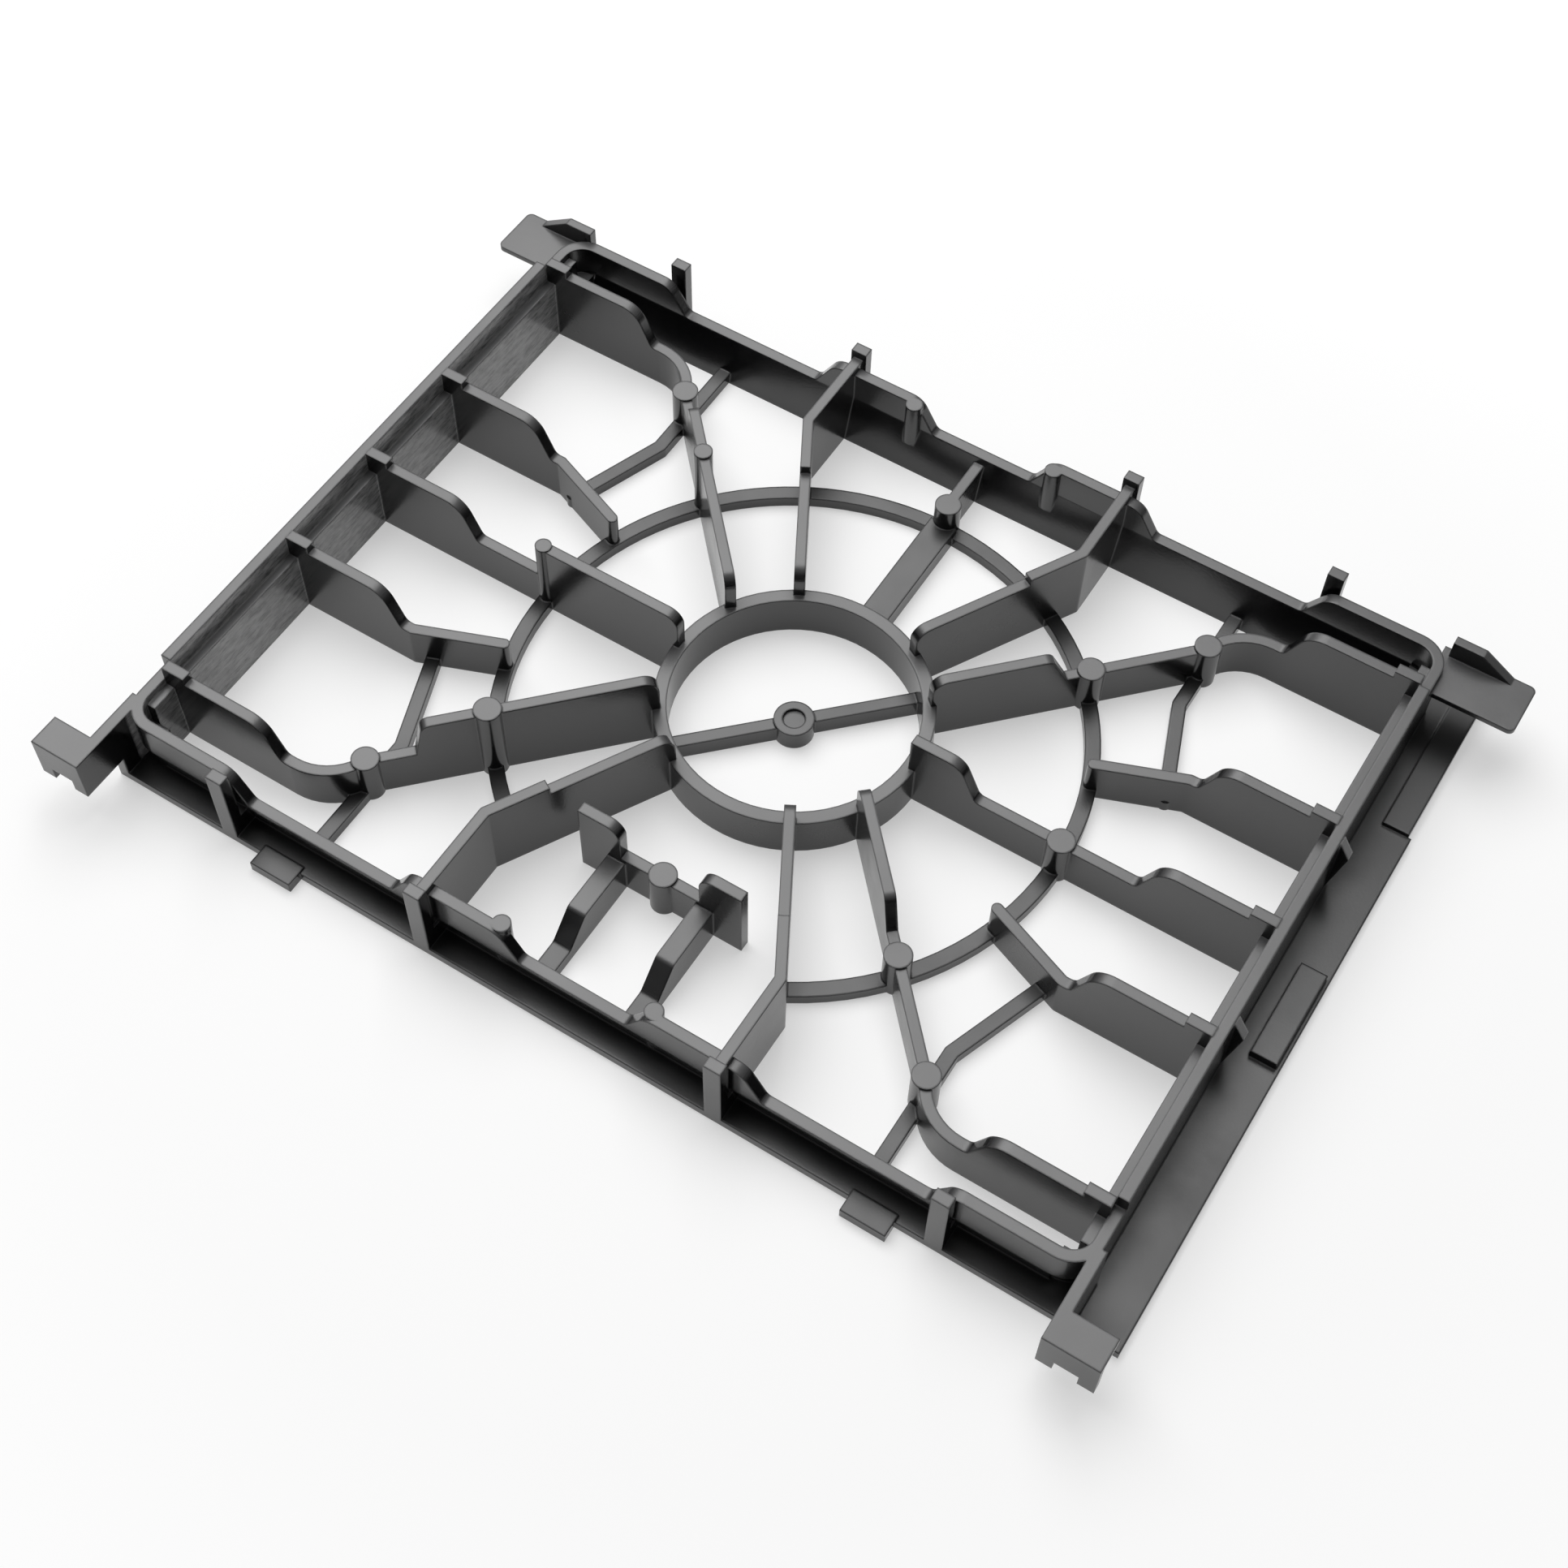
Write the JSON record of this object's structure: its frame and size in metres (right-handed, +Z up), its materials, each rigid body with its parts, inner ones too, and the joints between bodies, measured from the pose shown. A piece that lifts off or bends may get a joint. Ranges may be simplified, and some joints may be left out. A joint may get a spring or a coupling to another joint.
{
  "type": "vacuum filter frame",
  "caption": "Rectangular black plastic frame with corner lugs and a spider-web grille of stepped ribs and rings that carries a vacuum cleaner's motor filter.",
  "frame": {"origin": "middle of the frame's footprint, at the underside", "axes": "+X along the long side, +Y along the short side towards the back lugs with fins, +Z up through the ribs' raised tops"},
  "size_m": [0.181, 0.1276, 0.0153],
  "materials": {
    "plastic": "satin moulded"
  },
  "bodies": {
    "root": {"filter_frame": "plastic"}
  },
  "joints": []
}
